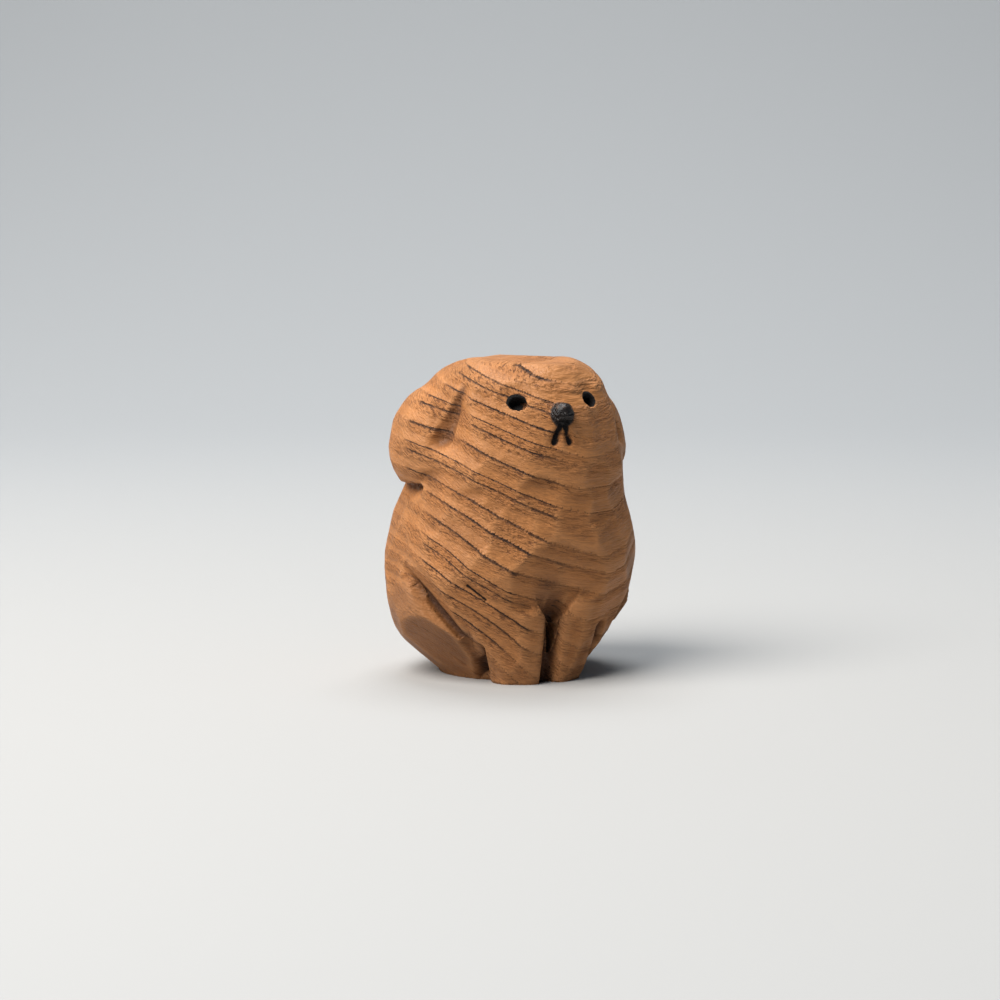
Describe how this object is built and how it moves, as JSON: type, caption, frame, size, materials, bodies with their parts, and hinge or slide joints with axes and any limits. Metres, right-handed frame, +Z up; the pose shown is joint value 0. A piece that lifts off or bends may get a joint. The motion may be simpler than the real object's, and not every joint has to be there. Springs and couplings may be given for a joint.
{
  "type": "carved wooden dog figurine",
  "caption": "Seated puppy whittled from one block of wood, with knife facets, drooping ears, burnt eyes and a dark nose; a shelf ornament that stands on its flat sole.",
  "frame": {"origin": "on the flat sole, below the middle of the outline", "axes": "+Z up; the dog looks along -Y; +X is its left"},
  "size_m": [0.0398, 0.0396, 0.0498],
  "materials": {
    "wood": "oiled, open-grained, with rows of dark pores; eyes, nose and mouth blackened"
  },
  "bodies": {
    "root": {"dog": "wood"}
  },
  "joints": []
}
